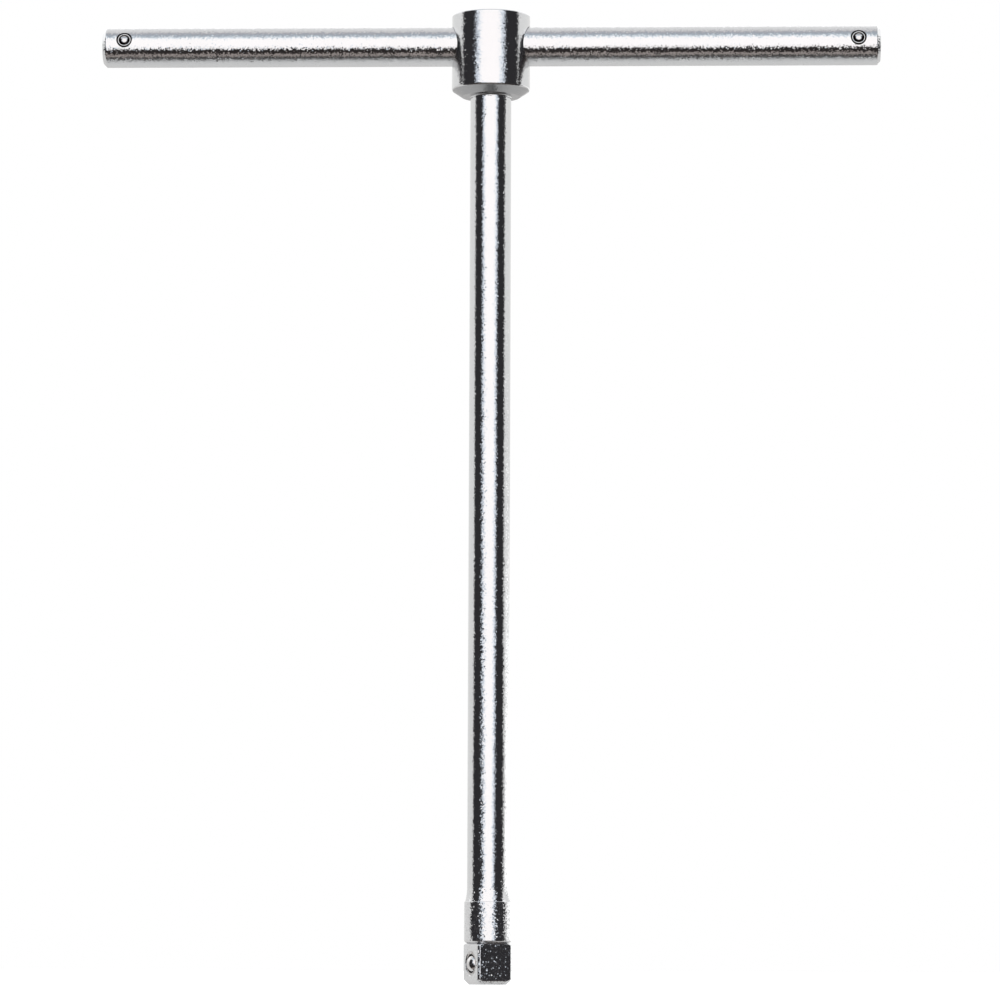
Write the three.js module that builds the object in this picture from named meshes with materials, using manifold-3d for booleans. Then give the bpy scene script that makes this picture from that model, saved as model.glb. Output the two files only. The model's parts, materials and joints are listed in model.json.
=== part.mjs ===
// Sliding T-handle for sockets, with a 3/8 inch square drive. Millimetres, +Z up.
// The tool stands on its drive: the origin is the centre of the square's end face, the stem runs up +Z,
// and the cross bar runs along X through the head at the top. The front is -Y.

import * as THREE from "three";
import { mergeVertices } from "three/addons/utils/BufferGeometryUtils.js";
import Module from "manifold-3d";

const wasm = await Module();
wasm.setup();

const DEGREE = Math.PI / 180;

// ---- driving dimensions ----

const SEAM_GAP = 0.3; // left between blanks that are welded end to end
const BALL_CLEARANCE = 0.06; // between a ball and the rim that keeps it in
const SPRING_CLEARANCE = 0.2; // between a spring and the ball, floor and wall around it

// Square drive. Its flats are turned from the bar's direction, as the blank was welded on.
const SQUARE_FLATS = 9.5;
const SQUARE_LENGTH = 10.6;
const SQUARE_CORNER_RADIUS = 0.85;
const SQUARE_END_CHAMFER = 0.9;
const SQUARE_TOP_CHAMFER = 0.35;
const CORNER_CUT_RADIUS = 4.9; // where the turned chamfer on the corners meets the end face
const CORNER_CUT_HEIGHT = 1.7;
const DRIVE_TURN = 27 * DEGREE;

// Round collar above the square, with a hollow flare above it that ends at the stem's size
const COLLAR_DIAMETER = 12;
const COLLAR_TOP = 21;
const COLLAR_CHAMFER = 0.4; // round its lower edge
const FLARE_DIAMETER = 11.5;
const FLARE_HEIGHT = 3.6;

// Stem: a plain round rod
const STEM_DIAMETER = 10.6;
const STEM_TOP = 226;

// Head: a round block, with a cone under it that ends in a flat face round the stem
const HEAD_DIAMETER = 20.2;
const HEAD_TOP = 250;
const HEAD_RIM = 230.5; // where the block ends and the cone begins
const HEAD_CONE = 34 * DEGREE; // the cone's rise from level
const HEAD_FACE_DIAMETER = 15;
const HEAD_TOP_ROUND = 0.5;
const HEAD_RIM_ROUND = 0.6;
const HEAD_FILLET = 0.4;
const BORE_DIAMETER = 10.4;

// Cross bar
const BAR_DIAMETER = 10.2;
const BAR_LENGTH = 202;
const BAR_HEIGHT = 242;
const BAR_END_CHAMFER = 0.9;
const BAR_END_DOME = 0.25; // how far the end face bulges past its chamfer
const BAR_TURN = -15.5 * DEGREE; // the bar's turn in its bore, which tips its balls up
const STOP_BALL_INSET = 6; // from the bar's end to the ball's centre

// Sprung balls. Heights run outwards from the axis of the bar or the stem.
const STOP_BALL = {
  ball: 2,
  surface: BAR_DIAMETER / 2,
  proud: 0.3,
  hole: 2.12,
  floor: -2.4,
  stake: 1.95,
  stakeDepth: 0.3,
  wire: 0.36,
  turns: 5,
};
const DRIVE_BALL = {
  ball: 2.38,
  surface: SQUARE_FLATS / 2,
  proud: 0.9,
  hole: 2.52,
  floor: -2.6,
  stake: 3.2,
  stakeDepth: 0.14,
  wire: 0.4,
  turns: 4,
};

// Facets
const BLOCK_SIDES = 64;
const ROD_SIDES = 48;
const HOLE_SIDES = 32;
const BALL_SIDES = 24;
const ARC_STEPS = 4;
const CORNER_STEPS = 5;
const WIRE_SIDES = 6;
const STEPS_PER_TURN = 12;

// ---- materials ----

const chrome = new THREE.MeshStandardMaterial({ color: 0xdcdde0, roughness: 0.22, metalness: 1 });
const bearingSteel = new THREE.MeshStandardMaterial({ color: 0xc4c5c8, roughness: 0.08, metalness: 1 });
const springSteel = new THREE.MeshStandardMaterial({ color: 0x8f9094, roughness: 0.35, metalness: 1 });

// ---- shapes ----

// A closed geometry as a solid that can be cut and joined
function solidOf(geometry) {
  const bare = geometry.clone();
  bare.deleteAttribute("normal");
  bare.deleteAttribute("uv");
  const merged = mergeVertices(bare);
  return new wasm.Manifold(
    new wasm.Mesh({
      numProp: 3,
      vertProperties: merged.attributes.position.array,
      triVerts: Uint32Array.from(merged.index.array),
    }),
  );
}

// A solid as a flat-shaded geometry
function geometryOf(solid) {
  const mesh = solid.getMesh();
  const indexed = new THREE.BufferGeometry();
  indexed.setAttribute("position", new THREE.BufferAttribute(mesh.vertProperties, 3));
  indexed.setIndex(new THREE.BufferAttribute(mesh.triVerts, 1));
  const geometry = indexed.toNonIndexed();
  geometry.computeVertexNormals();
  return geometry;
}

// Points [radius, height, round] of an outline, with each corner that has a round turned into an arc
function outline(corners) {
  return corners.flatMap(([radius, height, round = 0], index) => {
    const corner = new THREE.Vector2(radius, height);
    if (!round) return [corner];
    const back = new THREE.Vector2(...corners[index - 1]).sub(corner).normalize();
    const ahead = new THREE.Vector2(...corners[index + 1]).sub(corner).normalize();
    const halfAngle = Math.acos(back.dot(ahead)) / 2;
    const middle = back.clone().add(ahead).normalize();
    const centre = corner.clone().addScaledVector(middle, round / Math.sin(halfAngle));
    const start = corner.clone().addScaledVector(back, round / Math.tan(halfAngle));
    const sweep = (Math.PI - 2 * halfAngle) * Math.sign(ahead.cross(back));
    return Array.from({ length: ARC_STEPS + 1 }, (_, step) =>
      start.clone().rotateAround(centre, (sweep * step) / ARC_STEPS),
    );
  });
}

// A round body about +Z from an outline that climbs from the axis and ends on it
function turned(points, sides) {
  return new THREE.LatheGeometry(points, sides).rotateX(Math.PI / 2);
}

// A square bar about +Z, chamfered at both ends, whose flats face X and Y
function chamferedSquare(flats, height, endChamfer, topChamfer) {
  const corner = (inset) => (flats / 2 - inset) * Math.SQRT2;
  const points = outline([
    [0, 0],
    [corner(endChamfer), 0],
    [corner(0), endChamfer],
    [corner(0), height - topChamfer],
    [corner(topChamfer), height],
    [0, height],
  ]);
  return new THREE.LatheGeometry(points, 4, Math.PI / 4).rotateX(Math.PI / 2);
}

// A square with rounded corners, drawn flat
function roundedSquare(flats, round) {
  const centre = flats / 2 - round;
  const shape = new THREE.Shape();
  for (let quarter = 0; quarter < 4; quarter += 1) {
    const start = (quarter * Math.PI) / 2;
    const diagonal = start + Math.PI / 4;
    const x = Math.sign(Math.cos(diagonal)) * centre;
    const y = Math.sign(Math.sin(diagonal)) * centre;
    shape.absarc(x, y, round, start, start + Math.PI / 2);
  }
  return shape;
}

// A helix that climbs +Z
class Helix extends THREE.Curve {
  constructor(radius, bottom, top, turns) {
    super();
    Object.assign(this, { radius, bottom, top, turns });
  }

  getPoint(along, target = new THREE.Vector3()) {
    const angle = along * this.turns * 2 * Math.PI;
    const height = THREE.MathUtils.lerp(this.bottom, this.top, along);
    return target.set(this.radius * Math.cos(angle), this.radius * Math.sin(angle), height);
  }
}

function namedMesh(name, geometry, material) {
  const mesh = new THREE.Mesh(geometry, material);
  mesh.name = name;
  return mesh;
}

// ---- sprung balls ----

// Height of a ball's centre, standing proud of the surface
function ballHeight(detent) {
  return detent.surface + detent.proud - detent.ball;
}

// The blind hole for a ball and its spring: its mouth is staked in around the ball, inside a shallow ring
function detentHole(detent) {
  const rim = detent.surface - detent.stakeDepth;
  const rise = rim - ballHeight(detent);
  const throat = Math.sqrt(detent.ball ** 2 - rise ** 2) + BALL_CLEARANCE;
  const points = outline([
    [0, detent.floor],
    [detent.hole, detent.floor],
    [detent.hole, rim - rise / 2],
    [throat, rim],
    [detent.stake, rim],
    [detent.stake, detent.surface + detent.ball],
    [0, detent.surface + detent.ball],
  ]);
  return turned(points, HOLE_SIDES);
}

function detentBall(detent) {
  return new THREE.SphereGeometry(detent.ball, BALL_SIDES, BALL_SIDES / 2).rotateX(Math.PI / 2);
}

function detentSpring(detent) {
  const wireRadius = detent.wire / 2;
  const coilRadius = detent.hole - SPRING_CLEARANCE - wireRadius;
  const bottom = detent.floor + SPRING_CLEARANCE + wireRadius;
  const top = ballHeight(detent) - detent.ball - SPRING_CLEARANCE - wireRadius;
  const section = new THREE.Shape().absarc(0, 0, wireRadius, 0, 2 * Math.PI);
  return new THREE.ExtrudeGeometry(section, {
    extrudePath: new Helix(coilRadius, bottom, top, detent.turns),
    steps: detent.turns * STEPS_PER_TURN,
    curveSegments: WIRE_SIDES / 2,
  });
}

// A group whose +Z points out of a ball's hole, holding the ball and its spring
function detentGroup(detent, ballName, springName) {
  const ball = namedMesh(ballName, detentBall(detent), bearingSteel);
  ball.position.z = ballHeight(detent);
  const spring = namedMesh(springName, detentSpring(detent), springSteel);
  return new THREE.Group().add(ball, spring);
}

// The hole of a detent group, cut where the group stands
function drill(solid, group, detent) {
  group.updateMatrix();
  return solid.subtract(solidOf(detentHole(detent).applyMatrix4(group.matrix)));
}

// ---- pieces ----

function headMesh() {
  const radius = HEAD_DIAMETER / 2;
  const foot = STEM_TOP + SEAM_GAP;
  const face = HEAD_RIM - (radius - HEAD_FACE_DIAMETER / 2) * Math.tan(HEAD_CONE);
  const block = turned(
    outline([
      [0, foot],
      [STEM_DIAMETER / 2, foot],
      [STEM_DIAMETER / 2, face, HEAD_FILLET],
      [HEAD_FACE_DIAMETER / 2, face],
      [radius, HEAD_RIM, HEAD_RIM_ROUND],
      [radius, HEAD_TOP, HEAD_TOP_ROUND],
      [0, HEAD_TOP],
    ]),
    BLOCK_SIDES,
  );
  const bore = new THREE.CylinderGeometry(BORE_DIAMETER / 2, BORE_DIAMETER / 2, 2 * HEAD_DIAMETER, ROD_SIDES)
    .rotateZ(Math.PI / 2)
    .translate(0, 0, BAR_HEIGHT);
  return namedMesh("head", geometryOf(solidOf(block).subtract(solidOf(bore))), chrome);
}

function stemMesh() {
  const foot = COLLAR_TOP + FLARE_HEIGHT + SEAM_GAP;
  const rod = new THREE.CylinderGeometry(STEM_DIAMETER / 2, STEM_DIAMETER / 2, STEM_TOP - foot, ROD_SIDES)
    .rotateX(Math.PI / 2)
    .translate(0, 0, (STEM_TOP + foot) / 2);
  return namedMesh("stem", rod, chrome);
}

// The collar and its flare
function collarGeometry() {
  const flareTop = COLLAR_TOP + FLARE_HEIGHT;
  const flareDepth = (FLARE_DIAMETER - STEM_DIAMETER) / 2;
  const flareRadius = (FLARE_HEIGHT ** 2 + flareDepth ** 2) / (2 * flareDepth);
  const flareSweep = Math.asin(FLARE_HEIGHT / flareRadius);
  const flareCentre = STEM_DIAMETER / 2 + flareRadius;
  const profile = new THREE.Path();
  profile.moveTo(0, SQUARE_LENGTH);
  profile.lineTo(COLLAR_DIAMETER / 2 - COLLAR_CHAMFER, SQUARE_LENGTH);
  profile.lineTo(COLLAR_DIAMETER / 2, SQUARE_LENGTH + COLLAR_CHAMFER);
  profile.lineTo(COLLAR_DIAMETER / 2, COLLAR_TOP);
  profile.lineTo(FLARE_DIAMETER / 2, COLLAR_TOP);
  profile.absarc(flareCentre, flareTop, flareRadius, Math.PI + flareSweep, Math.PI, true);
  profile.lineTo(0, flareTop);
  return turned(profile.getPoints(ARC_STEPS), ROD_SIDES);
}

function driveEndMesh(ballGroup) {
  const prism = new THREE.ExtrudeGeometry(roundedSquare(SQUARE_FLATS, SQUARE_CORNER_RADIUS), {
    depth: SQUARE_LENGTH,
    bevelEnabled: false,
    curveSegments: CORNER_STEPS,
  });
  const chamfers = chamferedSquare(SQUARE_FLATS, SQUARE_LENGTH, SQUARE_END_CHAMFER, SQUARE_TOP_CHAMFER);
  const cornerCut = turned(
    outline([
      [0, 0],
      [CORNER_CUT_RADIUS, 0],
      [SQUARE_FLATS / Math.SQRT2, CORNER_CUT_HEIGHT],
      [SQUARE_FLATS / Math.SQRT2, SQUARE_LENGTH],
      [0, SQUARE_LENGTH],
    ]),
    ROD_SIDES,
  );
  const square = solidOf(prism).intersect(solidOf(chamfers)).intersect(solidOf(cornerCut));
  const blank = square.add(solidOf(collarGeometry()));
  return namedMesh("drive_end", geometryOf(drill(blank, ballGroup, DRIVE_BALL)), chrome);
}

function slidingBarMesh(ballGroups) {
  const radius = BAR_DIAMETER / 2;
  const half = BAR_LENGTH / 2;
  const endRadius = radius - BAR_END_CHAMFER;
  const shoulder = half - BAR_END_DOME - BAR_END_CHAMFER;
  const bar = turned(
    outline([
      [0, -half],
      [endRadius, -half + BAR_END_DOME],
      [radius, -shoulder],
      [radius, shoulder],
      [endRadius, half - BAR_END_DOME],
      [0, half],
    ]),
    ROD_SIDES,
  ).rotateY(Math.PI / 2);
  const drilled = ballGroups.reduce((solid, group) => drill(solid, group, STOP_BALL), solidOf(bar));
  return namedMesh("sliding_bar", geometryOf(drilled), chrome);
}

// ---- assembly ----

// The drive's ball sits on its local -X flat
const driveBall = detentGroup(DRIVE_BALL, "drive_ball", "drive_spring");
driveBall.position.z = SQUARE_LENGTH / 2;
driveBall.rotation.y = -Math.PI / 2;

const drive = new THREE.Group();
drive.add(driveEndMesh(driveBall), driveBall);
drive.rotation.z = DRIVE_TURN;

// The bar's balls sit on its local -Y side, one near each end
const stopBalls = [
  ["left", -1],
  ["right", 1],
].map(([end, side]) => {
  const group = detentGroup(STOP_BALL, `bar_ball_${end}`, `bar_spring_${end}`);
  group.position.x = side * (BAR_LENGTH / 2 - STOP_BALL_INSET);
  group.rotation.x = Math.PI / 2;
  return group;
});

const bar = new THREE.Group();
bar.add(slidingBarMesh(stopBalls), ...stopBalls);
bar.position.z = BAR_HEIGHT;
bar.rotation.x = BAR_TURN;

const tool = new THREE.Group();
tool.add(headMesh(), stemMesh(), drive, bar);

export default tool;
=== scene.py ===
# Looks of a sliding T-handle for 3/8 inch sockets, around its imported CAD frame.
# Shapes are worked out in millimetres and scaled to Blender's metres when their meshes are made.

import json
import math

import bmesh
import bpy
import numpy as np
from mathutils import Matrix, Vector

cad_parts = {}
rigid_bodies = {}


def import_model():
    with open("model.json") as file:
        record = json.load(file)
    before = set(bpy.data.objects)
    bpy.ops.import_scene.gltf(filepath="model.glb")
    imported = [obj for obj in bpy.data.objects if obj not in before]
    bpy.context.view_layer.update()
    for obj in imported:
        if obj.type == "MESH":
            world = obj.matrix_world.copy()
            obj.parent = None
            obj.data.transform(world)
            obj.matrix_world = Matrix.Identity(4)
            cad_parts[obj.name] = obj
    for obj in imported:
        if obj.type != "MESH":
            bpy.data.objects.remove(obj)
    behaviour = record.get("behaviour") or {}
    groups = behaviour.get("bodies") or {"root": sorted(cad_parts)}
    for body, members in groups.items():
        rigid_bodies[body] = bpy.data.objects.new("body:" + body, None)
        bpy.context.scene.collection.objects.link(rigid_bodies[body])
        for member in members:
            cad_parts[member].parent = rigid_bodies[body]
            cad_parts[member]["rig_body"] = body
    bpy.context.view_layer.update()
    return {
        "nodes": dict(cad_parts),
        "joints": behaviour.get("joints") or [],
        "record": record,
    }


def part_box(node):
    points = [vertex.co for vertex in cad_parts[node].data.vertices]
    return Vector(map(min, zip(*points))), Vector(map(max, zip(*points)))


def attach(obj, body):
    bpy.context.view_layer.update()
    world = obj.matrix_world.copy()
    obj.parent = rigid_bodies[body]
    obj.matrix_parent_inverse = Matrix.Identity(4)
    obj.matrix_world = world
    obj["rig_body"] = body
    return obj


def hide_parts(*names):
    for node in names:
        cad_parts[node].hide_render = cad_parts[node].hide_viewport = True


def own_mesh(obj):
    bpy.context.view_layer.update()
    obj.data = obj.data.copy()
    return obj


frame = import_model()

MM = 0.001
JOINTS = {joint["name"]: joint for joint in frame["joints"]}
MOUNTS = {mount["name"]: mount for mount in frame["record"]["mounts"]}

# ---- shape details, in millimetres ----

STEM_RADIUS = 5.3
FLARE_RADIUS = 5.75

HEAD_BLOCK_HEIGHT = 19.5
HEAD_CONE_RISE = math.radians(34)
HEAD_FACE_RADIUS = 7.5
HEAD_FACE_ROUND = 0.2
HEAD_FILLET = 0.4
HEAD_RIM_ROUND = 0.4
HEAD_TOP_ROUND = 0.4
BORE_RADIUS = 5.2
BORE_ROUND = 0.3
HEAD_WINDOW = (7.2, 6.4)  # half the width and height of the region drawn round each end of the bore

BAR_RADIUS = 5.1
BAR_END_CHAMFER = 0.9
BAR_END_DOME = 0.25
BAR_END_ROUND = 0.2
BAR_WINDOW = (2.7, 2.9)  # the same, round each of the bar's ball holes

COLLAR_RADIUS = 6
COLLAR_ROUND = 0.14
COLLAR_TOP = 21
COLLAR_CHAMFER = 0.4
END_CHAMFER = 0.9
END_ROUND = 0.1
TOP_CHAMFER = 0.35
TOP_ROUND = 0.05
CHAMFER_BLEND = 0.12
CORNER_FLAT = 6.37  # from the axis to the flat ground on each corner of the square
CORNER_BLEND = 0.08
CORNER_CUT = (4.9, 1.07)  # radius at the end face, and its growth with height
TOP_CORNER_CUT = (5.55, 1.3)
DRIVE_WINDOW = (3.68, 3.7)  # the same, round the drive's ball hole

SPRING_CLEARANCE = 0.2
SPRING_CROWDING = 0.3  # how much closer the coils are at the spring's ends
STOP_SPRING = {"wire": 0.36, "turns": 5, "hole": 2.12, "floor": -2.4}
DRIVE_SPRING = {"wire": 0.4, "turns": 4, "hole": 2.52, "floor": -2.6}

# Outlines of the staked ball holes, inwards from the surface: radius, height above the axis, and rounding.
# A height of None is on the surface.
STOP_HOLE = [
    (2.3, None, 0),
    (2.0, None, 0.04),
    (1.96, 4.56, 0.04),
    (1.8, 4.56, 0.04),
    (1.66, 4.82, 0.05),
    (1.47, 4.82, 0.03),
    (1.59, 4.68, 0.04),
    (1.82, 4.4, 0.05),
    (2.12, 4.05, 0.06),
    (2.12, -2.4, 0.3),
    (0, -2.4, 0),
]
DRIVE_HOLE = [
    (3.5, None, 0),
    (3.2, None, 0.08),
    (3.04, 4.56, 0.08),
    (2.5, 4.63, 0.08),
    (2.33, 4.56, 0.04),
    (2.33, 4.2, 0.05),
    (2.52, 3.9, 0.08),
    (2.52, -2.6, 0.4),
    (0, -2.6, 0),
]
STOP_GAP_SHADE = (4.6, 1.88)  # the black ring of painted shade in the gap round a ball hole: height above the axis, and radius
DRIVE_GAP_SHADE = (1.2, 2.25)  # the same, but its height is above the ball's centre
STOP_BALL_BRIGHT_RADIUS = 0.75  # radius about the middle of a ball's showing face that is left bright; past it the ball gets painted shade of its hole
DRIVE_BALL_BRIGHT_RADIUS = 2.0

# ---- resolution of the meshes ----

EDGE_STEPS = 5
EDGE_SUPPORT = 0.03  # distance past a rounded edge of the row that keeps the next face flat, in millimetres
ROUND_STEPS = 112
WINDOW_STEPS = 24
WINDOW_RINGS = 8
CORNER_STEPS = 22
SQUARE_ROWS = 26
STEM_ROWS = 40
BAR_ROWS = 30
BALL_STEPS = (40, 64)
COIL_STEPS = 36
WIRE_SIDES = 14
LOW_ROWS_HEIGHT = 0.8  # the drive's window has closer rows up to here, over the end chamfer
LOW_ROWS = 8
HIGH_ROWS = 18
END_ROW, TOP_ROW = 0.25, 0.12  # heights of the square's first and last rows from its two ends
SHARP_ANGLE = math.radians(60)
WELD_DISTANCE = 5e-4  # millimetres

# ---- looks: lengths in metres, and noise scales in features per metre ----

CHROME = (0.70, 0.705, 0.715)
CHROME_ROUGHNESS = 0.09
TONE_SPREAD, TONE_SCALE = 0.03, 90
TONE_NOISE = (3, 0.6)  # detail and roughness of the noise
GLOSS_SPREAD, GLOSS_SCALE = (0.8, 1.25), 700
GLOSS_CONTRAST = (0.3, 0.7)  # the noise's values that count as none and all
GRAIN_SCALE = 3300
GRAIN_POWER = 1.5  # above 1, a few crystals lean much more than the rest
HEAD_GRAIN, STEM_GRAIN, BAR_GRAIN, DRIVE_GRAIN = 0.24, 0.24, 0.42, 0.48
RIPPLE_SCALE, RIPPLE_HEIGHT = 260, 0.00001
RIPPLE_NOISE = (1, 0.4)
RING_PITCH, RING_HEIGHT = 0.00028, 0.0000006
STAIN_COLOUR, STAIN_STRENGTH = (0.2, 0.145, 0.12, 1), 0.8
STAIN_REACH, STAIN_CORE, STAIN_SCALE = 0.0036, 0.0026, 1500
STAIN_CONTRAST = (0.35, 0.65)
# Black rings of painted shade in the gaps round the balls: colour, and the distances from the ring where the
# shade starts and is full
GAP_SHADE_COLOUR = (0.02, 0.018, 0.017, 1)
GAP_SHADE_EDGE, GAP_SHADE_CORE = 0.0003, 0.00014
DOWN_START, DOWN_FULL = -0.5, -0.75  # the normal's Z on faces that look down
DOWN_ROUGHNESS = 0.2
# Painted shade on the faces that look down: its strength on the head, and its colour
HEAD_UNDERSIDE_SHADE = 0.5
UNDERSIDE_SHADE_COLOUR = (0.09, 0.09, 0.095, 1)

BALL_COLOUR, BALL_SHADE = (0.74, 0.73, 0.73), 0.85
BALL_ROUGHNESS = (0.06, 0.18)  # without scuffs, and scuffed
# Painted shade on a ball past its bright middle, and the width of its soft edge
BALL_HOLE_SHADE = (0.05, 0.045, 0.043, 1)
BALL_HOLE_SHADE_EDGE = 0.25  # millimetres
WIRE_COLOUR, WIRE_SHADE = (0.36, 0.36, 0.37), 0.8
WIRE_ROUGHNESS = (0.2, 0.4)
SCUFF_SCALE, SCUFF_HEIGHT = 3500, 0.000004
SCUFF_NOISE = (3, 0.7)
SCUFF_CONTRAST = (0.35, 0.7)


# ---- measuring the frame ----

def centre_of(node):
    """Middle of a CAD node's box, in millimetres."""
    low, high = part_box(node)
    return np.array((low + high) / 2) / MM


def seam(lower, upper):
    """Height of the weld between two CAD nodes, one on top of the other, in millimetres."""
    return (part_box(lower)[1].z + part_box(upper)[0].z) / 2 / MM


def press_axis(joint):
    """Direction in which a ball is pressed in."""
    return np.array(JOINTS[joint]["axis"], float)


# ---- surfaces: arrays of points, row by row ----

def unit(vectors):
    return vectors / np.linalg.norm(vectors, axis=-1, keepdims=True)


def outline(corners):
    """Points along a run of corners (point, rounding). Rounding starts that far to each side of a corner."""
    points = np.broadcast_arrays(*[np.asarray(point, float) for point, _ in corners])
    rows = [points[0]]
    for before, corner, after, (_, rounding) in zip(points, points[1:], points[2:], corners[1:]):
        if not rounding:
            rows.append(corner)
            continue
        back, ahead = unit(before - corner), unit(after - corner)
        start, end = corner + rounding * back, corner + rounding * ahead
        rows.append(start + EDGE_SUPPORT * back)
        for share in np.linspace(0, 1, EDGE_STEPS + 1):
            rows.append((1 - share) ** 2 * start + 2 * share * (1 - share) * corner + share**2 * end)
        rows.append(end + EDGE_SUPPORT * ahead)
    rows.append(points[-1])
    return np.stack(rows)


def steps(start, end, count):
    return np.linspace(start, end, count + 1)


def turned(profile, angles):
    """Surface that a profile of (radius, height) sweeps round Z, through a run of angles."""
    profile = np.asarray(profile, float)
    if profile.ndim == 2:
        profile = profile[:, None, :]
    radius, height = profile[..., 0], profile[..., 1]
    return np.stack([radius * np.cos(angles), radius * np.sin(angles), height + 0 * angles], axis=-1)


def window_edge(across, along):
    """Points (across, along) round the edge of a window, closed."""
    lower = [(a, along[0]) for a in across]
    right = [(across[-1], b) for b in along[1:]]
    upper = [(a, along[-1]) for a in across[-2::-1]]
    left = [(across[0], b) for b in along[-2::-1]]
    return np.array(lower + right + upper + left)


def punched(across, along, height, corners):
    """Surface with a round hole that faces +X, inside a window whose middle is the hole's axis.

    height gives the X of the surface round the hole from a distance across (along Y) and along (along Z).
    """
    edge = window_edge(across, along)
    direction = unit(edge)

    def ring(radius, level):
        points = radius * direction
        rise = height(points[:, 0], points[:, 1]) if level is None else np.full(len(points), level)
        return np.column_stack([np.full(len(points), radius), rise])

    walls = outline([(ring(radius, level), rounding) for radius, level, rounding in corners])
    hole = np.concatenate([walls[..., 1:], walls[..., :1] * direction], axis=-1)
    share = steps(0, 1, WINDOW_RINGS)[:-1, None, None]
    flat = edge + share * (corners[0][0] * direction - edge)
    rise = height(flat[..., 0], flat[..., 1])[..., None]
    return np.concatenate([np.concatenate([rise, flat], axis=-1), hole])


def on_cylinder(radius):
    """Height function of a cylinder about Z, for punched."""
    return lambda across, along: np.sqrt(radius**2 - across**2) + 0 * along


def on_flat(distance):
    """Height function of a flat, for punched."""
    return lambda across, along: np.full(np.shape(across + along), float(distance))


def tube(centres, normals, radius, sides):
    """Tube round a run of centres, closed at both ends."""
    tangents = unit(np.gradient(centres, axis=0))
    normals = unit(normals)
    binormals = np.cross(tangents, normals)
    turn = steps(0, 2 * math.pi, sides)[:, None]
    rings = (
        centres[:, None]
        + radius * np.cos(turn) * normals[:, None]
        + radius * np.sin(turn) * binormals[:, None]
    )
    caps = np.repeat(centres[[0, -1], None], sides + 1, axis=1)
    return np.concatenate([caps[:1], rings, caps[1:]])


# ---- making pieces ----

def placed(surfaces, origin, facing, along):
    """Surfaces moved to an origin, with their X turned to facing and their Z to along."""
    axes = np.array([facing, np.cross(along, facing), along])
    return [surface @ axes + origin for surface in surfaces]


def piece(name, surfaces, node, material):
    """One mesh welded from surfaces in millimetres. It stands for a CAD node and rides on its body."""
    shape = bmesh.new()
    for surface in surfaces:
        grid = [[shape.verts.new(point) for point in row] for row in surface * MM]
        for row, next_row in zip(grid, grid[1:]):
            for corners in zip(row, row[1:], next_row[1:], next_row):
                shape.faces.new(corners)
    bmesh.ops.remove_doubles(shape, verts=shape.verts, dist=WELD_DISTANCE * MM)
    bmesh.ops.recalc_face_normals(shape, faces=shape.faces)
    mesh = bpy.data.meshes.new(name)
    shape.to_mesh(mesh)
    shape.free()
    mesh.shade_smooth()
    mesh.set_sharp_from_angle(angle=SHARP_ANGLE)
    mesh.materials.append(material)
    made = bpy.data.objects.new(name, mesh)
    bpy.context.scene.collection.objects.link(made)
    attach(made, frame["nodes"][node]["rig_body"])
    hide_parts(node)
    return made


# ---- materials ----

class Shader:
    """Nodes of one material or world, added by type and wired by socket name."""

    def __init__(self, owner):
        owner.use_nodes = True
        self.nodes, self.links = owner.node_tree.nodes, owner.node_tree.links
        self.nodes.clear()

    def add(self, kind, settings=None, **inputs):
        node = self.nodes.new(kind)
        for name, value in (settings or {}).items():
            setattr(node, name, value)
        for name, value in inputs.items():
            self.plug(node.inputs[name.replace("_", " ")], value)
        return node

    def plug(self, socket, value):
        if isinstance(value, bpy.types.NodeSocket):
            self.links.new(value, socket)
        else:
            socket.default_value = value

    def math(self, operation, *values):
        node = self.add("ShaderNodeMath", {"operation": operation})
        for socket, value in zip(node.inputs, values):
            self.plug(socket, value)
        return node.outputs[0]

    def vector(self, operation, *values):
        node = self.add("ShaderNodeVectorMath", {"operation": operation})
        for socket, value in zip(node.inputs, values):
            self.plug(socket, value)
        return node.outputs["Value" if operation == "LENGTH" else "Vector"]

    def remap(self, value, low, high, to_low=0, to_high=1, smooth=False):
        node = self.add("ShaderNodeMapRange", {"interpolation_type": "SMOOTHSTEP" if smooth else "LINEAR"})
        for socket, given in zip(node.inputs, (value, low, high, to_low, to_high)):
            self.plug(socket, given)
        return node.outputs[0]

    def mix(self, factor, first, second):
        node = self.add("ShaderNodeMix", {"data_type": "RGBA"})
        for socket, value in zip((node.inputs[0], node.inputs[6], node.inputs[7]), (factor, first, second)):
            self.plug(socket, value)
        return node.outputs[2]

    def noise(self, position, scale, detail=2, rough=0.5):
        node = self.add("ShaderNodeTexNoise", Vector=position, Scale=scale, Detail=detail, Roughness=rough)
        return node.outputs["Fac"]

    def reach(self, position, centre):
        """Distance of a position, in metres, from a centre in millimetres."""
        return self.vector("LENGTH", self.vector("SUBTRACT", position, Vector(centre) * MM))

    def bump(self, height, distance, normal=None):
        node = self.add("ShaderNodeBump", Height=height, Distance=distance)
        if normal:
            self.plug(node.inputs["Normal"], normal)
        return node.outputs["Normal"]

    def metal(self, tone, gloss, normal=None):
        """Bare metal of a colour and a roughness, as the material's surface."""
        surface = self.add("ShaderNodeBsdfPrincipled", Base_Color=tone, Metallic=1.0, Roughness=gloss)
        if normal:
            self.plug(surface.inputs["Normal"], normal)
        self.add("ShaderNodeOutputMaterial", Surface=surface.outputs[0])


def shaded(colour, share):
    """A colour made darker or lighter, with its opacity."""
    return [*(part * share for part in colour), 1]


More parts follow.
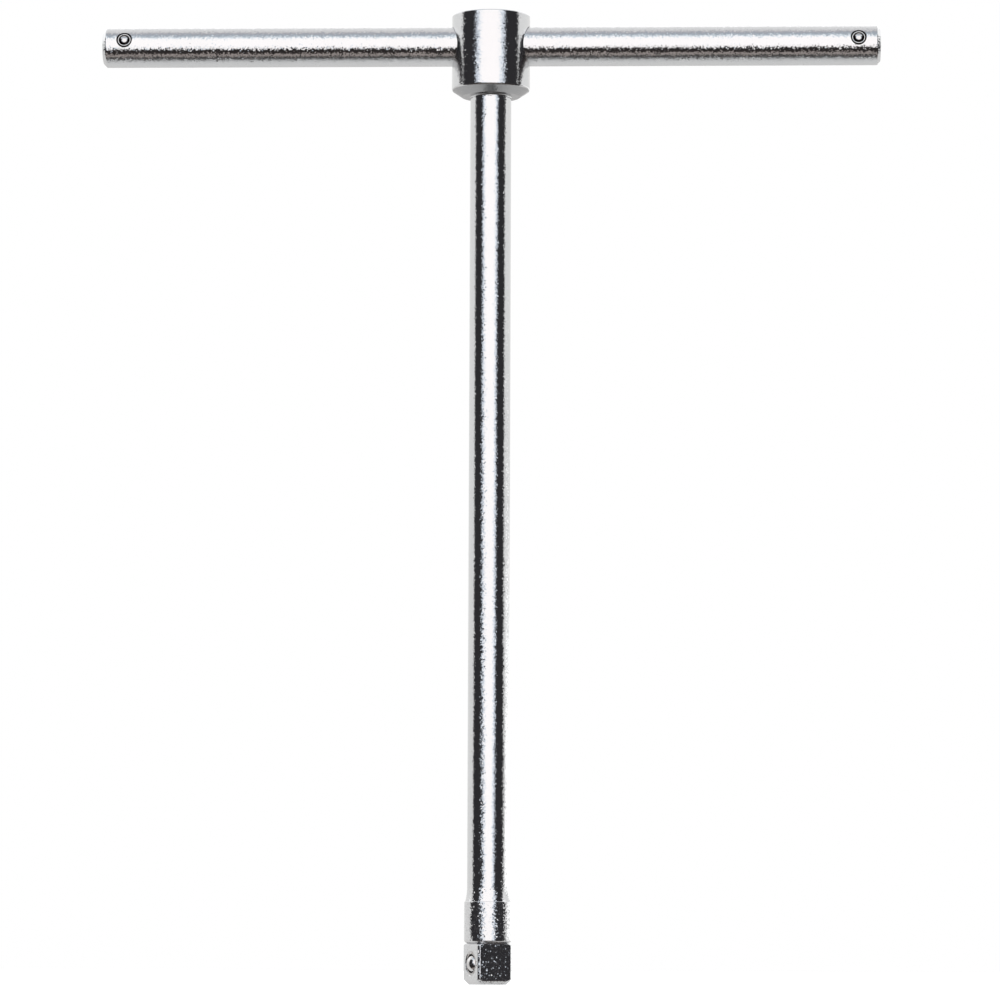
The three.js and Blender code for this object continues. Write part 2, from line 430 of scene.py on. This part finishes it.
def plated(name, grain, axis_point, axis, gap_shades=(), stain=None, under=0.0):
    """Satin chrome over turned steel: a grain of fine crystals, a slow ripple, and rings round its axis.

    grain is the tilt of the crystals. residues are black rings of painted shade in the gaps round the balls,
    each a centre and a radius in millimetres.
    stain is the centre of a brown, oily patch, or None. under darkens the faces that look down with painted
    shade.
    """
    material = bpy.data.materials.new(name)
    shader = Shader(material)
    position = shader.add("ShaderNodeTexCoord").outputs["Object"]
    cells = shader.add("ShaderNodeTexVoronoi", Vector=position, Scale=GRAIN_SCALE).outputs["Color"]
    tilt = shader.vector("SUBTRACT", cells, (0.5, 0.5, 0.5))
    lean = shader.math("POWER", shader.vector("LENGTH", tilt), GRAIN_POWER)
    ripple = shader.noise(position, RIPPLE_SCALE, *RIPPLE_NOISE)
    arm = shader.vector("SUBTRACT", position, Vector(axis_point) * MM)
    radius = shader.vector("LENGTH", shader.vector("CROSS_PRODUCT", arm, Vector(axis)))
    rings = shader.math("SINE", shader.math("MULTIPLY", radius, 2 * math.pi / RING_PITCH))
    normal = shader.bump(ripple, RIPPLE_HEIGHT)
    normal = shader.bump(rings, RING_HEIGHT, normal)
    tilt = shader.vector("MULTIPLY", tilt, shader.math("MULTIPLY", lean, grain))
    normal = shader.vector("NORMALIZE", shader.vector("ADD", normal, tilt))
    cloud = shader.noise(position, TONE_SCALE, *TONE_NOISE)
    tone = shader.mix(cloud, shaded(CHROME, 1 - TONE_SPREAD), shaded(CHROME, 1 + TONE_SPREAD))
    low, high = (CHROME_ROUGHNESS * share for share in GLOSS_SPREAD)
    gloss = shader.remap(shader.noise(position, GLOSS_SCALE), *GLOSS_CONTRAST, low, high)
    if stain is not None:
        patches = shader.remap(shader.noise(position, STAIN_SCALE), *STAIN_CONTRAST)
        reach = shader.reach(position, stain)
        dirt_and_shade = shader.remap(reach, STAIN_REACH, STAIN_CORE, 0, STAIN_STRENGTH, smooth=True)
        tone = shader.mix(shader.math("MULTIPLY", dirt_and_shade, patches), tone, STAIN_COLOUR)
    # Painted shade: black rings in the gaps round the balls
    for centre, ring_radius in gap_shades:
        gap = shader.math("SUBTRACT", shader.reach(position, centre), ring_radius * MM)
        dirt_and_shade = shader.remap(shader.math("ABSOLUTE", gap), GAP_SHADE_EDGE, GAP_SHADE_CORE, smooth=True)
        tone = shader.mix(dirt_and_shade, tone, GAP_SHADE_COLOUR)
    # Faces that look down get rougher, and darker with painted shade
    facing = shader.add("ShaderNodeSeparateXYZ", Vector=shader.add("ShaderNodeNewGeometry").outputs["Normal"])
    looks_down = shader.remap(facing.outputs["Z"], DOWN_START, DOWN_FULL)
    gloss = shader.math("MULTIPLY_ADD", looks_down, DOWN_ROUGHNESS, gloss)
    tone = shader.mix(shader.math("MULTIPLY", looks_down, under), tone, UNDERSIDE_SHADE_COLOUR)
    shader.metal(tone, gloss, normal)
    return material


def polished(name, centre, out, bright_radius):
    """Bearing steel with fine scuffs, left bright within a radius of its outermost point and darkened past it
    with painted shade of its hole.

    centre is the ball's, in millimetres, and out points along its hole. worn is the radius in millimetres.
    """
    material = bpy.data.materials.new(name)
    shader = Shader(material)
    position = shader.add("ShaderNodeTexCoord").outputs["Object"]
    scuffs = shader.noise(position, SCUFF_SCALE, *SCUFF_NOISE)
    tone = shader.mix(scuffs, shaded(BALL_COLOUR, BALL_SHADE), shaded(BALL_COLOUR, 1))
    # Painted shade of the hole: the ball darkens past a radius about its outermost point
    arm = shader.vector("SUBTRACT", position, Vector(centre) * MM)
    reach = shader.vector("LENGTH", shader.vector("CROSS_PRODUCT", arm, Vector(out)))
    dirt_and_shade = shader.remap(reach, bright_radius * MM, (bright_radius + BALL_HOLE_SHADE_EDGE) * MM, smooth=True)
    tone = shader.mix(dirt_and_shade, tone, BALL_HOLE_SHADE)
    gloss = shader.remap(scuffs, *SCUFF_CONTRAST, *BALL_ROUGHNESS)
    shader.metal(tone, gloss, shader.bump(scuffs, SCUFF_HEIGHT))
    return material


def drawn_wire(name):
    """Drawn spring wire, with scuffs."""
    material = bpy.data.materials.new(name)
    shader = Shader(material)
    position = shader.add("ShaderNodeTexCoord").outputs["Object"]
    scuffs = shader.noise(position, SCUFF_SCALE, *SCUFF_NOISE)
    tone = shader.mix(scuffs, shaded(WIRE_COLOUR, WIRE_SHADE), shaded(WIRE_COLOUR, 1))
    shader.metal(tone, shader.remap(scuffs, *SCUFF_CONTRAST, *WIRE_ROUGHNESS))
    return material


# ---- the pieces ----

UP = np.array([0.0, 0.0, 1.0])
RIGHT = np.array([1.0, 0.0, 0.0])
STEM_FOOT = seam("drive_end", "stem")
HEAD_FOOT = seam("stem", "head")
HEAD_TOP = MOUNTS["head_top"]["pos_m"][2] / MM
BAR_MIDDLE = centre_of("sliding_bar")
BAR_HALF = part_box("sliding_bar")[1].x / MM
SQUARE_TOP = 2 * MOUNTS["drive_flat_front"]["pos_m"][2] / MM
HALF_FLATS = Vector(MOUNTS["drive_flat_front"]["pos_m"][:2]).length / MM
HEAD_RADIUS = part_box("head")[1].y / MM


def head():
    """Round block with a blunt cone under it, bored through for the bar."""
    rim = HEAD_TOP - HEAD_BLOCK_HEIGHT
    face = rim - (HEAD_RADIUS - HEAD_FACE_RADIUS) * math.tan(HEAD_CONE_RISE)
    half_width, half_height = HEAD_WINDOW
    low, high = BAR_MIDDLE[2] - half_height, BAR_MIDDLE[2] + half_height
    half_angle = math.asin(half_width / HEAD_RADIUS)
    side = steps(half_angle, math.pi - half_angle, ROUND_STEPS // 3)
    mouth = steps(-half_angle, half_angle, WINDOW_STEPS)
    circle = np.concatenate([mouth, side[1:], (mouth + math.pi)[1:], (side + math.pi)[1:]])
    rows = steps(low, high, WINDOW_STEPS)
    lower = outline([
        ((0, HEAD_FOOT), 0),
        ((STEM_RADIUS, HEAD_FOOT), 0),
        ((STEM_RADIUS, face), HEAD_FILLET),
        ((HEAD_FACE_RADIUS, face), HEAD_FACE_ROUND),
        ((HEAD_RADIUS, rim), HEAD_RIM_ROUND),
        ((HEAD_RADIUS, low), 0),
    ])
    upper = outline([((HEAD_RADIUS, high), 0), ((HEAD_RADIUS, HEAD_TOP), HEAD_TOP_ROUND), ((0, HEAD_TOP), 0)])
    wall = np.column_stack([np.full(len(rows), HEAD_RADIUS), rows])
    bore = punched(
        HEAD_RADIUS * np.sin(mouth),
        rows - BAR_MIDDLE[2],
        on_cylinder(HEAD_RADIUS),
        [(BORE_RADIUS + 2 * BORE_ROUND, None, 0), (BORE_RADIUS, None, BORE_ROUND), (BORE_RADIUS, 0, 0)],
    ) + BAR_MIDDLE[2] * UP
    return [
        turned(lower, circle),
        turned(upper, circle),
        turned(wall, side),
        turned(wall, side + math.pi),
        bore,
        bore * (-1, 1, 1),
    ]


def stem():
    """Plain round rod."""
    body = steps(STEM_FOOT, HEAD_FOOT, STEM_ROWS)
    rod = np.column_stack([np.full(len(body), STEM_RADIUS), body])
    profile = np.concatenate([[(0, STEM_FOOT)], rod, [(0, HEAD_FOOT)]])
    return [turned(profile, steps(0, 2 * math.pi, ROUND_STEPS))]


def cross_bar(ball_insets):
    """Rod along Z with domed, chamfered ends and a staked ball hole near each end, facing +X."""
    half_width, half_length = BAR_WINDOW
    half_angle = math.asin(half_width / BAR_RADIUS)
    mouth = steps(-half_angle, half_angle, WINDOW_STEPS)
    side = steps(half_angle, 2 * math.pi - half_angle, ROUND_STEPS)
    circle = np.concatenate([mouth, side[1:]])
    end = [
        ((0, BAR_HALF), 0),
        ((BAR_RADIUS - BAR_END_CHAMFER, BAR_HALF - BAR_END_DOME), BAR_END_ROUND),
        ((BAR_RADIUS, BAR_HALF - BAR_END_DOME - BAR_END_CHAMFER), BAR_END_ROUND),
        ((BAR_RADIUS, ball_insets + half_length), 0),
    ]
    middle = steps(-ball_insets + half_length, ball_insets - half_length, BAR_ROWS)
    surfaces = [turned(np.column_stack([np.full(len(middle), BAR_RADIUS), middle]), circle)]
    for sign in (-1, 1):
        rows = steps(sign * ball_insets - half_length, sign * ball_insets + half_length, WINDOW_STEPS)
        mouth_hole = punched(
            BAR_RADIUS * np.sin(mouth),
            rows - sign * ball_insets,
            on_cylinder(BAR_RADIUS),
            STOP_HOLE,
        )
        surfaces += [
            turned(outline(end) * (1, sign), circle),
            turned(np.column_stack([np.full(len(rows), BAR_RADIUS), rows]), side),
            mouth_hole + sign * ball_insets * UP,
        ]
    return surfaces


def blended_min(first, second, width):
    """The smaller of two distances, rounded off where they are within width of each other."""
    near = np.maximum(width - np.abs(first - second), 0) / width
    return np.minimum(first, second) - near**2 * width / 4


def square_radius(angle, height):
    """Distance from the axis to the side of the square drive, chamfered at both ends and on its corners."""
    half = blended_min(HALF_FLATS, HALF_FLATS - END_CHAMFER + height, CHAMFER_BLEND)
    half = blended_min(half, HALF_FLATS - TOP_CHAMFER + SQUARE_TOP - height, CHAMFER_BLEND)
    cosine, sine = np.maximum(np.abs([np.cos(angle), np.sin(angle)]), 0.01)  # both are divisors
    corner = CORNER_FLAT * math.sqrt(2) / (cosine + sine)
    side = blended_min(np.minimum(half / cosine, half / sine), corner, CORNER_BLEND)
    side = blended_min(side, CORNER_CUT[0] + CORNER_CUT[1] * height, 2 * CHAMFER_BLEND)
    return blended_min(side, TOP_CORNER_CUT[0] + TOP_CORNER_CUT[1] * (SQUARE_TOP - height), 2 * CHAMFER_BLEND)


def drive_end(ball_height):
    """Square drive under a round collar and its hollow flare, with the staked ball hole in its +X flat."""
    half_width, half_height = DRIVE_WINDOW
    low, high = ball_height - half_height, ball_height + half_height
    mouth_across = steps(-half_width, half_width, WINDOW_STEPS)
    mouth = np.arctan2(mouth_across, HALF_FLATS)
    corner = steps(mouth[-1], math.pi / 2 - mouth[-1], CORNER_STEPS)
    quarter = np.concatenate([mouth[1:], corner[1:]])
    circle = np.concatenate([mouth[:1], *(quarter + turn * math.pi / 2 for turn in range(4))])
    beside = circle[len(mouth) - 1:]

    def rows(heights, angles):
        radius = square_radius(angles[None, :], heights[:, None])
        return turned(np.stack([radius, heights[:, None] + 0 * radius], axis=-1), angles)

    def at(height, angles):
        radius = square_radius(angles, height)
        return np.column_stack([radius, np.full(len(angles), height)])

    top_row = SQUARE_TOP - TOP_ROW
    foot = outline([((0, 0), 0), (at(0, circle), END_ROUND), (at(END_ROW, circle), 0)])
    shoulder = outline([
        (at(top_row, circle), 0),
        (at(SQUARE_TOP, circle), TOP_ROUND),
        ((COLLAR_RADIUS - COLLAR_CHAMFER, SQUARE_TOP), 0),
        ((COLLAR_RADIUS, SQUARE_TOP + COLLAR_CHAMFER), COLLAR_ROUND),
        ((COLLAR_RADIUS, COLLAR_TOP), COLLAR_ROUND),
        ((FLARE_RADIUS, COLLAR_TOP), 0),
    ])
    rise = steps(0, 1, 2 * EDGE_STEPS)
    flare = np.column_stack([
        STEM_RADIUS + (FLARE_RADIUS - STEM_RADIUS) * (1 - rise) ** 2,
        COLLAR_TOP + (STEM_FOOT - COLLAR_TOP) * rise,
    ])
    middle = low + LOW_ROWS_HEIGHT
    window_rows = np.concatenate([steps(low, middle, LOW_ROWS), steps(middle, high, HIGH_ROWS)[1:]])
    ball_hole = punched(mouth_across, window_rows - ball_height, on_flat(HALF_FLATS), DRIVE_HOLE)
    return [
        turned(foot, circle),
        rows(steps(END_ROW, low, SQUARE_ROWS), circle),
        rows(window_rows, beside),
        rows(steps(high, top_row, SQUARE_ROWS), circle),
        turned(shoulder, circle),
        turned(np.concatenate([flare, [(0, STEM_FOOT)]]), circle),
        ball_hole + ball_height * UP,
    ]


def ball(radius):
    bend_steps, turn_steps = BALL_STEPS
    bend = steps(0, math.pi, bend_steps)
    profile = np.column_stack([radius * np.sin(bend), -radius * np.cos(bend)])
    return [turned(profile, steps(0, 2 * math.pi, turn_steps))]


def spring(wire, turns, hole, floor, top):
    """Coil spring that stands up X from the floor of its hole, with closer coils at its ends."""
    share = steps(0, 1, COIL_STEPS * turns)
    angle = 2 * math.pi * turns * share
    radius = hole - SPRING_CLEARANCE - wire / 2
    low, high = floor + SPRING_CLEARANCE + wire / 2, top - SPRING_CLEARANCE - wire / 2
    rise = low + (high - low) * (share - SPRING_CROWDING * np.sin(2 * math.pi * share) / (2 * math.pi))
    outwards = np.column_stack([0 * angle, np.cos(angle), np.sin(angle)])
    return [tube(rise[:, None] * RIGHT + radius * outwards, outwards, wire / 2, WIRE_SIDES)]


def sprung_ball(side, node, joint, spring_node, hole, axis_point, bright_radius, wire_steel):
    """A ball, and the spring behind it, which stands on its hole's floor."""
    inwards = press_axis(joint)
    centre = centre_of(node)
    height = (axis_point - centre) @ inwards
    radius = (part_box(node)[1].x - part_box(node)[0].x) / 2 / MM
    along = UP if abs(inwards[2]) < 0.01 else RIGHT
    foot = centre + height * inwards
    steel = polished(f"{side}_ball_steel", centre, inwards, bright_radius)
    piece(f"{side}_steel_ball", placed(ball(radius), centre, -inwards, along), node, steel)
    coil = piece(
        f"{side}_wire_spring",
        placed(spring(**hole, top=height - radius), foot, -inwards, along),
        spring_node,
        wire_steel,
    )
    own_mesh(coil)


# ---- studio ----

PANEL_FALLOFF = 25  # degrees from the panel's side edge to its full light

# The panel's light from the dark flag beside it to its middle: glow, colour, opacity
PANEL_BANDS = [
    (0, (0.035, 0.034, 0.037), 1),
    (0.5, (0.68, 0.73, 0.8), 1),
    (0.7, (0.91, 0.98, 1.08), 1),
    (0.85, (1.15, 1.19, 1.25), 1),
    (0.95, (1.32, 1.3, 1.3), 1),
    (1, (1.41, 1.36, 1.35), 1),
]

# What stands above and below the panel: elevation in degrees, colour, opacity
FRONT_BANDS = [
    (-90, (0.72, 0.75, 0.75), 1),
    (-86, (0.66, 0.69, 0.69), 1),
    (-82, (0.05, 0.05, 0.05), 1),
    (-66, (0.045, 0.045, 0.045), 1),
    (-60, (0.4, 0.36, 0.34), 1),
    (-50, (0.38, 0.33, 0.31), 1),
    (-44, (0.04, 0.035, 0.034), 1),
    (-21, (0.03, 0.026, 0.026), 1),
    (-15, (0.03, 0.026, 0.026), 0.2),
    (-5, (0.9, 0.85, 0.85), 0),
    (40, (1.33, 1.35, 1.37), 0),
    (47, (1.12, 1.19, 1.25), 1),
    (50, (1.0, 1.07, 1.14), 1),
    (54, (0.78, 0.86, 0.93), 1),
    (58, (0.63, 0.7, 0.77), 1),
    (62, (0.54, 0.6, 0.66), 1),
    (67, (0.49, 0.54, 0.6), 1),
    (73, (0.5, 0.52, 0.57), 1),
    (78, (0.55, 0.56, 0.59), 1),
    (84, (0.66, 0.65, 0.67), 1),
    (90, (0.78, 0.77, 0.78), 1),
]

# The walls behind the tool, by elevation
WALL_BANDS = [
    (-90, (0.77, 0.77, 0.77), 1),
    (-45, (0.85, 0.85, 0.84), 1),
    (-20, (0.81, 0.8, 0.79), 1),
    (-4, (0.76, 0.75, 0.74), 1),
    (1, (0.88, 0.88, 0.87), 1),
    (13, (0.93, 0.93, 0.92), 1),
    (22, (1.3, 1.3, 1.3), 1),
    (34, (1.3, 1.3, 1.3), 1),
    (47, (0.97, 0.97, 0.97), 1),
    (65, (0.94, 0.94, 0.94), 1),
    (90, (0.8, 0.79, 0.8), 1),
]

# Where the panel's two side edges stand: from this elevation and turn to that elevation and turn
LEFT_EDGE = ((-1, 28), (7, 47.5))
RIGHT_EDGE = ((1, 41), (11, 48))
PANEL_CURVE = 2.0  # how fast the light falls near the panel's edge
WALL_START, WALL_FULL = 84, 97
WALL_SHIFT = 12  # how much later the right wall starts at eye level and below
SHIFT_ELEVATION = (3, 0.5)  # where that shift starts and is full
CARD_GAIN = 0.75  # extra light of a card low on the right
CARD_SIDE, CARD_TOP, CARD_FOOT = (102, 116), (5, 3), (-3, -1)  # outside and inside of the card's soft edges

FLOOR_REACH = 6
FLOOR_GLOW = 0.45

CAMERA_PLACE = (47.3, -1200, 4)
CAMERA_YAW, CAMERA_PITCH, CAMERA_ROLL = -2.1265, 5.7, 0.206
CAMERA_LENS, CAMERA_SENSOR = 169.1, 36
CAMERA_CLIP = (0.01, 50)


def side_edge(shader, elevation, ends):
    """Turn of a side edge of the panel at an elevation."""
    (low, low_turn), (high, high_turn) = ends
    return shader.remap(elevation, low, high, low_turn, high_turn)


def studio_world():
    """Light from all round: a soft white panel in front, dark flags to its sides, and pale walls behind.

    Directions are in degrees. The turn is 0 in front and positive to the right. Elevation is 0 at eye level.
    """
    world = bpy.data.worlds.new("studio")
    bpy.context.scene.world = world
    shader = Shader(world)
    direction = shader.add("ShaderNodeTexCoord").outputs["Generated"]
    split = shader.add("ShaderNodeSeparateXYZ", Vector=direction).outputs
    towards_front = shader.math("MULTIPLY", split["Y"], -1.0)
    turn = shader.math("DEGREES", shader.math("ARCTAN2", split["X"], towards_front))
    sideways = shader.math("ABSOLUTE", turn)
    elevation = shader.math("DEGREES", shader.math("ARCSINE", split["Z"]))
    on_right = shader.math("GREATER_THAN", turn, 0.0)

    left_edge = side_edge(shader, elevation, LEFT_EDGE)
    right_edge = side_edge(shader, elevation, RIGHT_EDGE)
    edge_gap = shader.math("SUBTRACT", right_edge, left_edge)
    panel_edge = shader.math("MULTIPLY_ADD", on_right, edge_gap, left_edge)
    inset = shader.remap(shader.math("SUBTRACT", panel_edge, sideways), 0, PANEL_FALLOFF, 1, 0)
    glow = shader.math("SUBTRACT", 1.0, shader.math("POWER", inset, PANEL_CURVE))
    front = ramp(shader, glow, PANEL_BANDS)["Color"]
    front_bands = ramp(shader, elevation, FRONT_BANDS)
    front = shader.mix(front_bands["Alpha"], front, front_bands["Color"])

    wall_shift = shader.math("MULTIPLY", on_right, shader.remap(elevation, *SHIFT_ELEVATION, 0, WALL_SHIFT))
    wall_turn = shader.math("SUBTRACT", sideways, wall_shift)
    behind = shader.remap(wall_turn, WALL_START, WALL_FULL, smooth=True)
    wall = ramp(shader, elevation, WALL_BANDS)["Color"]
    low_card = shader.math("MULTIPLY", shader.remap(turn, *CARD_SIDE), shader.remap(elevation, *CARD_TOP))
    low_card = shader.math("MULTIPLY", low_card, shader.remap(elevation, *CARD_FOOT))
    wall = shader.vector("MULTIPLY", wall, shader.math("MULTIPLY_ADD", low_card, CARD_GAIN, 1.0))
    studio = shader.mix(behind, front, wall)

    lit = shader.add("ShaderNodeBackground", Color=studio)
    plain = shader.add("ShaderNodeBackground", Color=(1, 1, 1, 1))
    seen = shader.add("ShaderNodeLightPath").outputs["Is Camera Ray"]
    mixed = shader.add("ShaderNodeMixShader", Fac=seen)
    shader.plug(mixed.inputs[1], lit.outputs[0])
    shader.plug(mixed.inputs[2], plain.outputs[0])
    shader.add("ShaderNodeOutputWorld", Surface=mixed.outputs[0])


def ramp(shader, value, bands):
    """Colours by a value, from bands of (value, colour, opacity). Returns the ramp's outputs."""
    low, high = bands[0][0], bands[-1][0]
    node = shader.add("ShaderNodeValToRGB", Fac=shader.remap(value, low, high))
    for index, (start, colour, opacity) in enumerate(bands):
        place = (start - low) / (high - low)
        if index == len(bands) - 1:
            stop = node.color_ramp.elements[-1]
        elif index == 0:
            stop = node.color_ramp.elements[0]
        else:
            stop = node.color_ramp.elements.new(place)
        stop.position, stop.color = place, (*colour, opacity)
    return node.outputs


def floor():
    """Plain pale floor. The chrome reflects the studio in its place."""
    mesh = bpy.data.meshes.new("floor")
    corners = [(FLOOR_REACH * x, FLOOR_REACH * y, 0) for x, y in ((-1, -1), (1, -1), (1, 1), (-1, 1))]
    mesh.from_pydata(corners, [], [(0, 1, 2, 3)])
    material = bpy.data.materials.new("pale_floor")
    shader = Shader(material)
    surface = shader.add(
        "ShaderNodeBsdfPrincipled",
        Base_Color=(0.9, 0.9, 0.9, 1),
        Roughness=0.9,
        Emission_Color=(1, 1, 1, 1),
        Emission_Strength=FLOOR_GLOW,
    )
    shader.add("ShaderNodeOutputMaterial", Surface=surface.outputs[0])
    mesh.materials.append(material)
    made = bpy.data.objects.new("floor", mesh)
    made.visible_glossy = False
    bpy.context.scene.collection.objects.link(made)


def camera():
    """Camera in front of the tool and just above the floor, looking up a little."""
    place = Vector(CAMERA_PLACE) * MM
    yaw, pitch, roll = (math.radians(angle) for angle in (CAMERA_YAW, CAMERA_PITCH, CAMERA_ROLL))
    ahead = Vector((math.sin(yaw) * math.cos(pitch), math.cos(yaw) * math.cos(pitch), math.sin(pitch)))
    level = Vector((math.cos(yaw), -math.sin(yaw), 0))
    right = math.cos(roll) * level + math.sin(roll) * level.cross(ahead)
    up = right.cross(ahead)
    lens = bpy.data.cameras.new("camera")
    lens.sensor_width = CAMERA_SENSOR
    lens.lens = CAMERA_LENS
    lens.clip_start, lens.clip_end = CAMERA_CLIP
    made = bpy.data.objects.new("camera", lens)
    turn = Matrix((right, up, -ahead)).transposed().to_4x4()
    made.matrix_world = Matrix.Translation(place) @ turn
    bpy.context.scene.collection.objects.link(made)
    bpy.context.scene.camera = made


camera()

bar_out = -press_axis("stop_ball_left_press")
drive_out = -press_axis("socket_ball_press")
drive_ball_centre = centre_of("drive_ball")
stop_height, stop_ring = STOP_GAP_SHADE
stop_gap_shades = [
    (BAR_MIDDLE * (0, 1, 1) + centre_of(f"bar_ball_{side}") * (1, 0, 0) + stop_height * bar_out, stop_ring)
    for side in ("left", "right")
]
drive_height, drive_ring = DRIVE_GAP_SHADE
drive_mouth = drive_ball_centre + drive_height * drive_out
head_chrome = plated("head_chrome", HEAD_GRAIN, (0, 0, 0), UP, under=HEAD_UNDERSIDE_SHADE)
stem_chrome = plated("stem_chrome", STEM_GRAIN, (0, 0, 0), UP)
bar_chrome = plated("bar_chrome", BAR_GRAIN, BAR_MIDDLE, RIGHT, gap_shades=stop_gap_shades)
drive_chrome = plated(
    "drive_chrome", DRIVE_GRAIN, (0, 0, 0), UP, gap_shades=[(drive_mouth, drive_ring)], stain=drive_mouth
)
spring_wire = drawn_wire("spring_wire")

origin = np.zeros(3)
piece("head_block", head(), "head", head_chrome)
piece("stem_rod", stem(), "stem", stem_chrome)
piece(
    "square_drive",
    placed(drive_end(drive_ball_centre[2]), origin, drive_out, UP),
    "drive_end",
    drive_chrome,
)
piece(
    "cross_bar",
    placed(cross_bar(abs(centre_of("bar_ball_left")[0])), BAR_MIDDLE, bar_out, RIGHT),
    "sliding_bar",
    bar_chrome,
)
for side in ("left", "right"):
    ball_node = f"bar_ball_{side}"
    on_axis = BAR_MIDDLE * (0, 1, 1) + centre_of(ball_node) * (1, 0, 0)
    sprung_ball(
        side, ball_node, f"stop_ball_{side}_press", f"bar_spring_{side}", STOP_SPRING, on_axis,
        STOP_BALL_BRIGHT_RADIUS, spring_wire,
    )
sprung_ball(
    "drive", "drive_ball", "socket_ball_press", "drive_spring", DRIVE_SPRING,
    drive_ball_centre * (0, 0, 1), DRIVE_BALL_BRIGHT_RADIUS, spring_wire,
)

studio_world()
floor()
bpy.context.scene.view_settings.view_transform = "Standard"
